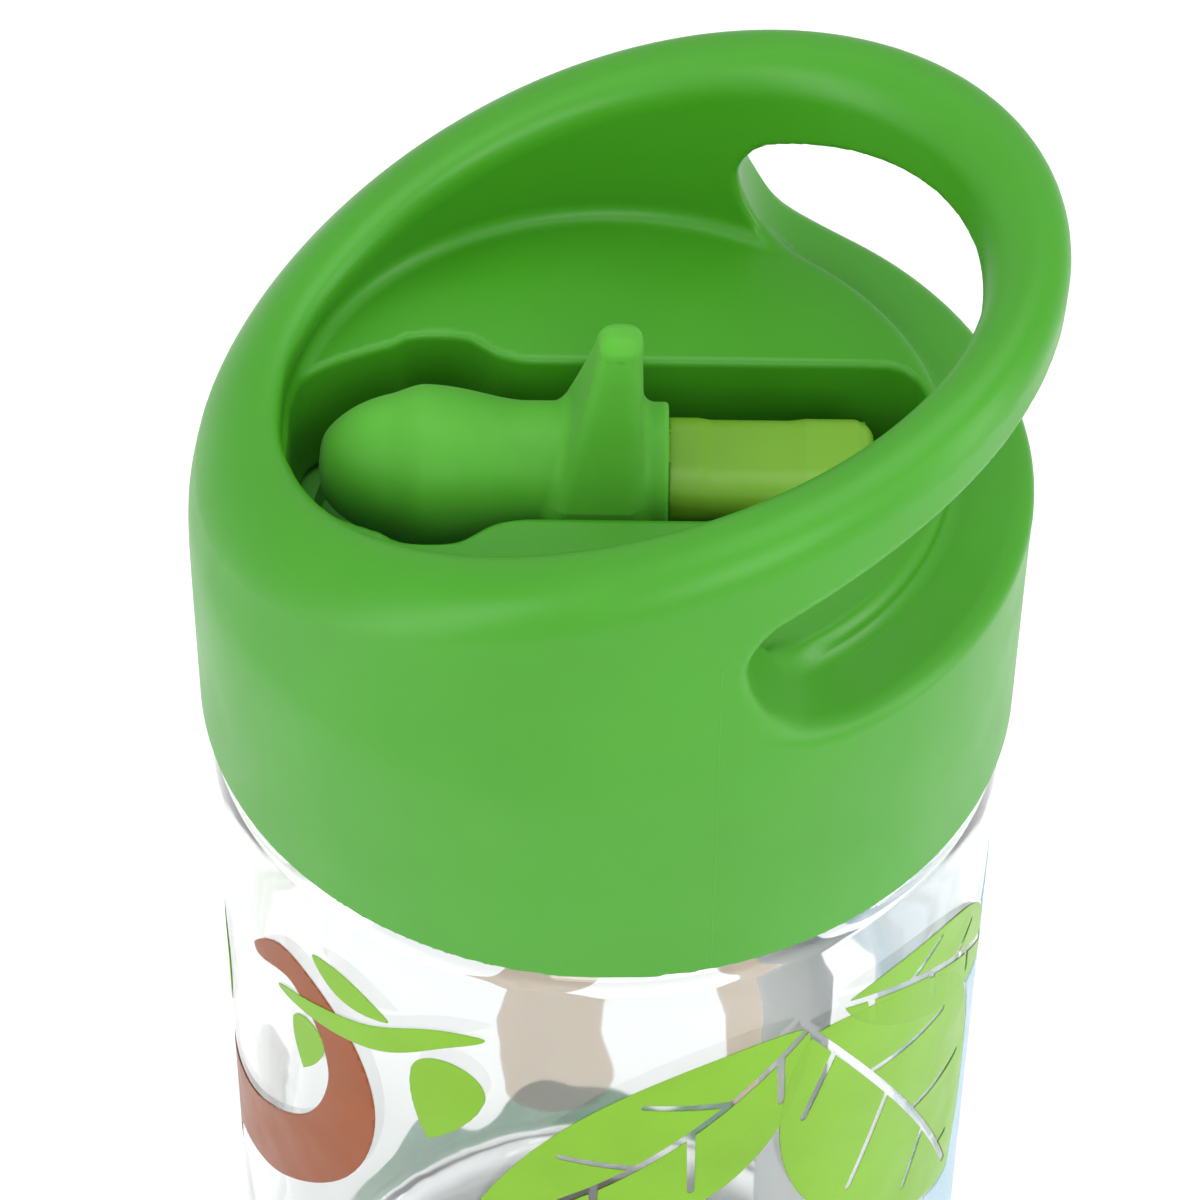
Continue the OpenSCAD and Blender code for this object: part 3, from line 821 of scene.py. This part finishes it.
class BOTTLE_OT_inner_parts(bpy.types.Operator):
    """Give the inner cap, the gasket, the seal and the vent valve their finishes"""

    bl_idname = "bottle.inner_parts"
    bl_label = "Inner Parts"

    def execute(self, context):
        cap = satin_polypropylene("satin polypropylene, dark green", "#4F9E38")
        pale = matte_silicone("matte silicone, pale", "#DDE6DA")
        for node, finish in (("inner_cap", cap), ("lid_gasket", pale),
                             ("spout_seal", pale), ("vent_valve", pale)):
            mesh = frame["nodes"][node].data
            mesh.materials.clear()
            mesh.materials.append(finish)
        return {"FINISHED"}


# --------------------------------------------------------------------------- the print


def stroke(u, v, path, widths):
    """Distance to a stroke along a path, its half width running from point to point"""
    best = np.full(np.broadcast(u, v).shape, FAR)
    for (ax, ay), (bx, by), wa, wb in zip(path, path[1:], widths, widths[1:]):
        ex, ey = bx - ax, by - ay
        share = np.clip(((u - ax) * ex + (v - ay) * ey) / (ex * ex + ey * ey), 0, 1)
        best = np.minimum(best, np.hypot(u - ax - share * ex, v - ay - share * ey)
                          - wa - (wb - wa) * share)
    return best


def bend_path(points, count):
    """An open smooth path through points, count steps from one to the next"""
    points = np.array([points[0], *points, points[-1]], float)
    path = []
    for a, b, c, d in zip(points, points[1:], points[2:], points[3:]):
        for t in np.arange(count) / count:
            path.append(0.5 * (2 * b + (c - a) * t + (2 * a - 5 * b + 4 * c - d) * t ** 2
                               + (3 * b - a - 3 * c + d) * t ** 3))
    return path + [points[-1]]


def leaf(root, tip, width, bend, veins=3, lead=1):
    """Field of a printed leaf with clear veins, which start on the lead side, and the field of its
    plain outline"""
    root, tip = np.array(root, float), np.array(tip, float)
    length = np.linalg.norm(tip - root)
    ahead = (tip - root) / length
    fullness, bluntness, evened = 0.86, 0.82, 0.9
    rib_half, rib_end, vein_half, vein_end_half = 0.4, 0.94, 0.4, 0.34
    first_vein, vein_gap, lag, vein_reach, vein_slope = 0.09, 0.28, 0.16, 0.74, 0.8

    def local(u, v):
        s = (u - root[0]) * ahead[0] + (v - root[1]) * ahead[1]
        t = (v - root[1]) * ahead[0] - (u - root[0]) * ahead[1]
        share = np.clip(s / length, 0, 1)
        return s, t - bend * 4 * share * (1 - share), share

    def plain(u, v):
        s, t, share = local(u, v)
        half = width / 2 * np.sin(math.pi * share ** fullness) ** bluntness
        return np.maximum(np.maximum((abs(t) - half) * evened, -s), s - length)

    def printed(u, v):
        s, t, share = local(u, v)
        line = np.maximum(abs(t) - rib_half, s - rib_end * length)
        for k in range(veins):
            for side in (1, -1):
                start = length * (first_vein + vein_gap * k + (0 if side == lead else lag))
                swell = math.sin(math.pi * min(1, start / length + 0.12) ** fullness)
                reach = vein_reach * width / 2 * swell
                path = [(start, 0), (start + reach * vein_slope, side * reach)]
                line = np.minimum(line, stroke(s, t, path, [vein_half, vein_end_half]))
        return np.maximum(plain(u, v), -line)

    return printed, plain


def drop(centre, radius, point):
    """Field of a printed drop with one pointed end"""
    cx, cy = centre
    px, py = point

    def field(u, v):
        path = [(cx + (px - cx) * k / 8, cy + (py - cy) * k / 8) for k in range(9)]
        return stroke(u, v, path, [radius * (1 - (k / 8) ** 1.5) for k in range(9)])

    return field


def ink_patch(name, field, low, high, finish, step=0.45, layer=0):
    """A film of ink 0.05 mm thick on the body's wall, where a field of (way round, height) is below
    zero; a higher layer lies over a lower one"""
    us, vs = (np.arange(a, b + step, step) for a, b in zip(low, high))
    u, v = np.meshgrid(us, vs, indexing="ij")
    inside = field(u, v) < 0
    kept = inside[:-1, :-1] | inside[1:, :-1] | inside[:-1, 1:] | inside[1:, 1:]
    used = np.zeros(inside.shape, bool)
    for i in (0, 1):
        for j in (0, 1):
            used[i:inside.shape[0] - 1 + i, j:inside.shape[1] - 1 + j] |= kept
    flat = np.stack([u[used], v[used]], axis=1)
    outside = ~inside[used]
    flat[outside] = settle(field, flat[outside], step)[0]
    number = np.full(inside.shape, -1)
    number[used] = np.arange(used.sum())
    cells = np.argwhere(kept)
    top = np.stack([number[tuple((cells + offset).T)]
                    for offset in ((0, 0), (1, 0), (1, 1), (0, 1))], axis=1)
    count = len(flat)
    edges = {}
    for quad in top.tolist():
        for a, b in zip(quad, quad[1:] + quad[:1]):
            edges[(a, b)] = True
    rim = [(a, b) for a, b in edges if (b, a) not in edges]
    faces = top.tolist() + (top[:, ::-1] + count).tolist()
    faces += [(b, a, a + count, b + count) for a, b in rim]
    angle = flat[:, 0] / BODY_R
    under, over, lift = 0.03, 0.08, 0.06 * layer
    points = np.concatenate([
        np.stack([r * np.sin(angle), -r * np.cos(angle), flat[:, 1]], axis=1)
        for r in (BODY_R + over + lift, BODY_R + under + lift)])
    return add_piece(name, points, faces, finish, "bottle")


class BOTTLE_OT_print(bpy.types.Operator):
    """Print leaves, a vine, drops, a bough, sky, undergrowth and trunks on the clear body"""

    bl_idname = "bottle.print"
    bl_label = "Print"

    def execute(self, context):
        green = screen_ink("screen ink, leaf green", context.scene.bottle_colours.leaf)
        pale = screen_ink("screen ink, pale green laid thin", "#9CC860", 0.6, 1)
        dark = screen_ink("screen ink, forest green", "#2A6434", 0.85, 1)
        brown = screen_ink("screen ink, bark brown", "#803C0C")
        blue = screen_ink("screen ink, sky blue", "#A4CCF4", 0.85, 1)
        tan = screen_ink("screen ink, sand laid thin", "#DDA870", 0.6, 1)
        top = LID_Z
        leaves = [((18.6, -13.6), (-12, -38.5), 17.5, 1.2, 1), ((19.4, -14.8), (43, -58), 25, 1, -1),
                  ((22.6, -12.9), (52, -33), 10.5, 2.0, -1)]
        ring = 2 * math.pi * BODY_R
        leaves += [((78, -14), (66, -44), 15, 1.5, 1), ((84, -12), (112, -30), 15, 1.5, 1),
                   ((146, -20), (128, -44), 16, -1.5, 1), ((150, -16), (164, -46), 17, 1.5, -1),
                   ((-30, -66), (-12, -98), 15, 1.5, 1), ((-4, -58), (10, -92), 16, 1.2, -1),
                   ((30, -70), (22, -100), 14, 1, 1)]
        outlines = []
        for number, (root, tip, width, bend, lead) in enumerate(leaves):
            root, tip = (root[0], top + root[1]), (tip[0], top + tip[1])
            printed, plain = leaf(root, tip, width, bend, lead=lead)
            outlines.append(plain)
            low = [min(pair) - width for pair in zip(root, tip)]
            high = [max(pair) + width for pair in zip(root, tip)]
            ink_patch(f"printed_leaf_{number + 1}", printed, low, high,
                      green if root[0] < ring / 5 else pale, 0.24)
        vine = bend_path([(-33.3, top - 20.6), (-27.5, top - 19.2), (-21, top - 17.1),
                          (-14.7, top - 13.2), (-10.3, top - 11.4)], 8)
        vine_w = [1.5 * math.sin(math.pi * (0.04 + 0.94 * k / (len(vine) - 1))) ** 0.8
                  for k in range(len(vine))]
        ink_patch("printed_vine", lambda u, v: stroke(u, v, vine, vine_w),
                  (-37, top - 25), (-7, top - 8), green, 0.3, 1)
        leaflet = leaf((-28.2, top - 11.4), (-19.4, top - 13.9), 3.6, -0.4, veins=0)[1]
        ink_patch("printed_leaflet", leaflet, (-30, top - 17), (-17, top - 9), green, 0.3)
        drops = [((-29.4, top - 23.8), 2.2, (-30.4, top - 29.6)),
                 ((-13.8, top - 19.6), 3.6, (-15.8, top - 28.2)),
                 ((-52, top - 34), 3.2, (-50, top - 42)), ((-64, top - 18), 3.4, (-66, top - 26))]
        for number, (centre, radius, point) in enumerate(drops):
            ink_patch(f"printed_drop_{number + 1}", drop(centre, radius, point),
                      (centre[0] - 12, centre[1] - 14), (centre[0] + 12, centre[1] + 8), green, 0.3)
        bough = bend_path([(-37.4, top - 19.6), (-31.6, top - 16.2), (-26.0, top - 20.5),
                           (-24.2, top - 29), (-28, top - 39), (-38, top - 48),
                           (-52, top - 56), (-60, top - 70)], 8)
        bough_w = np.interp(np.linspace(0, 1, len(bough)), [0, 0.12, 0.4, 1], [0.7, 1.9, 2.7, 5.5])
        ink_patch("printed_bough", lambda u, v: stroke(u, v, bough, bough_w),
                  (-70, top - 80), (-18, top - 10), brown)

        def sky(u, v):
            across, up = (u - 57) / 19, (v - top + 54) / 36
            patch = (np.hypot(across, up) - 1 + 0.06 * np.sin(7 * np.arctan2(up, across))) * 17
            for outline in outlines:
                patch = np.maximum(patch, 0.5 - outline(u, v))
            return patch

        ink_patch("printed_sky", sky, (34, top - 96), (82, top - 12), blue)

        def ground(u, v):
            waves = 2.5 * np.sin(u * 12 / BODY_R), 1.5 * np.sin(u * 19 / BODY_R)
            return np.maximum(v - 13 - waves[0] - waves[1], 6.5 - v)

        share = ring * 0.3
        for number, start in enumerate((40, 40 + share)):
            ink_patch(f"printed_ground_{number + 1}",
                      lambda u, v, s=start: np.maximum(ground(u, v), np.maximum(s - u, u - s - share)),
                      (start - 2, 5), (start + share, 20), dark, layer=1)
        for number, (foot_u, width) in enumerate(((92, 5.5), (118, 6.5))):
            trunk = bend_path([(foot_u - 2, top - 104), (foot_u, top - 90), (foot_u + 1, top - 76),
                               (foot_u + 5, top - 64)], 6)
            trunk_w = np.linspace(width, width * 0.5, len(trunk))
            ink_patch(f"printed_trunk_{number + 1}",
                      lambda u, v, path=trunk, wide=trunk_w: stroke(u, v, path, wide),
                      (foot_u - 14, top - 114), (foot_u + 14, top - 54), tan)
        return {"FINISHED"}


# ----------------------------------------------------------------------------- the stage


def softbox(name, centre, size, power):
    """An area light aimed at the lid"""
    light = bpy.data.lights.new(name, "AREA")
    light.shape = "RECTANGLE"
    light.size, light.size_y = size
    light.energy = power
    lamp = bpy.data.objects.new(name, light)
    aim = Vector((0, 0, 0.12)) - Vector(centre)
    turn = aim.to_track_quat("-Z", "Y").to_matrix().to_4x4()
    lamp.matrix_world = Matrix.Translation(centre) @ turn
    bpy.context.scene.collection.objects.link(lamp)


class BOTTLE_OT_stage(bpy.types.Operator):
    """Lay the floor, set the studio light and aim the camera"""

    bl_idname = "bottle.stage"
    bl_label = "Stage"

    def execute(self, context):
        scene = context.scene
        count = 16
        steps = np.linspace(-1.6, 1.6, count + 1)
        points = [(x, y, 0) for x in steps for y in steps]
        row = count + 1
        faces = [(i * row + j, i * row + row + j, i * row + row + 1 + j, i * row + 1 + j)
                 for i in range(count) for j in range(count)]
        mesh = bpy.data.meshes.new("floor")
        mesh.from_pydata(points, [], faces)
        mesh.materials.append(studio_paper())
        floor = bpy.data.objects.new("floor", mesh)
        scene.collection.objects.link(floor)
        softbox("overhead softbox", (0.0, 0.1, 0.9), (0.7, 0.7), 3.2)
        softbox("front softbox", (0.1, -0.7, 0.55), (0.6, 0.45), 3.2)
        softbox("left strip", (-0.7, -0.3, 0.3), (0.25, 0.9), 3.0)
        softbox("right strip", (0.75, -0.2, 0.35), (0.2, 0.9), 3.4)
        world = bpy.data.worlds.new("pale room")
        world.use_nodes = True
        background = world.node_tree.nodes["Background"]
        background.inputs["Color"].default_value = hex_linear("#F6F8FA")
        background.inputs["Strength"].default_value = 0.78
        scene.world = world
        scene.view_settings.view_transform = "Standard"
        camera = bpy.data.cameras.new("camera")
        camera.sensor_width = 36
        camera.lens = 138.1
        tilt, roll = math.radians(46.72), 0.01249
        ahead = Vector((0, math.cos(tilt), -math.sin(tilt)))
        right, up = Vector((1, 0, 0)), Vector((0, math.sin(tilt), math.cos(tilt)))
        side = math.cos(roll) * right + math.sin(roll) * up
        top = math.cos(roll) * up - math.sin(roll) * right
        viewer = bpy.data.objects.new("camera", camera)
        turn = Matrix((side, top, -ahead)).transposed().to_4x4()
        viewer.matrix_world = Matrix.Translation(Vector((-0.645, -276.885, 421.8)) * MM) @ turn
        scene.collection.objects.link(viewer)
        scene.camera = viewer
        return {"FINISHED"}


# ------------------------------------------------------------------------------- add-on

PIECES = (BOTTLE_OT_stage, BOTTLE_OT_clear_body, BOTTLE_OT_print, BOTTLE_OT_straw,
          BOTTLE_OT_inner_parts, BOTTLE_OT_lid_shell, BOTTLE_OT_mould_lines,
          BOTTLE_OT_spout_arm, BOTTLE_OT_mouthpiece)
GROUPS = {"bottle_sizes": BottleSizes, "lid_sizes": LidSizes, "spout_sizes": SpoutSizes,
          "bottle_colours": BottleColours}


class BOTTLE_PT_panel(bpy.types.Panel):
    """Lists the pieces and their sizes"""

    bl_idname = "BOTTLE_PT_panel"
    bl_label = "Drinking Bottle"
    bl_space_type = "VIEW_3D"
    bl_region_type = "UI"
    bl_category = "Bottle"

    def draw(self, context):
        for group in GROUPS:
            values = getattr(context.scene, group)
            box = self.layout.box()
            for name in values.bl_rna.properties.keys():
                if name not in ("rna_type", "name"):
                    box.prop(values, name)
        for piece in PIECES:
            self.layout.operator(piece.bl_idname)


def register():
    """Adds the sizes, the pieces and the panel"""
    for name, group in GROUPS.items():
        bpy.utils.register_class(group)
        setattr(bpy.types.Scene, name, bpy.props.PointerProperty(type=group))
    for piece in (*PIECES, BOTTLE_PT_panel):
        bpy.utils.register_class(piece)


def unregister():
    """Takes them away again"""
    for piece in (*PIECES, BOTTLE_PT_panel):
        bpy.utils.unregister_class(piece)
    for name, group in GROUPS.items():
        delattr(bpy.types.Scene, name)
        bpy.utils.unregister_class(group)


def main():
    """Builds every piece in order"""
    register()
    for piece in PIECES:
        getattr(bpy.ops.bottle, piece.bl_idname.split(".")[1])()


if __name__ == "__main__":
    main()
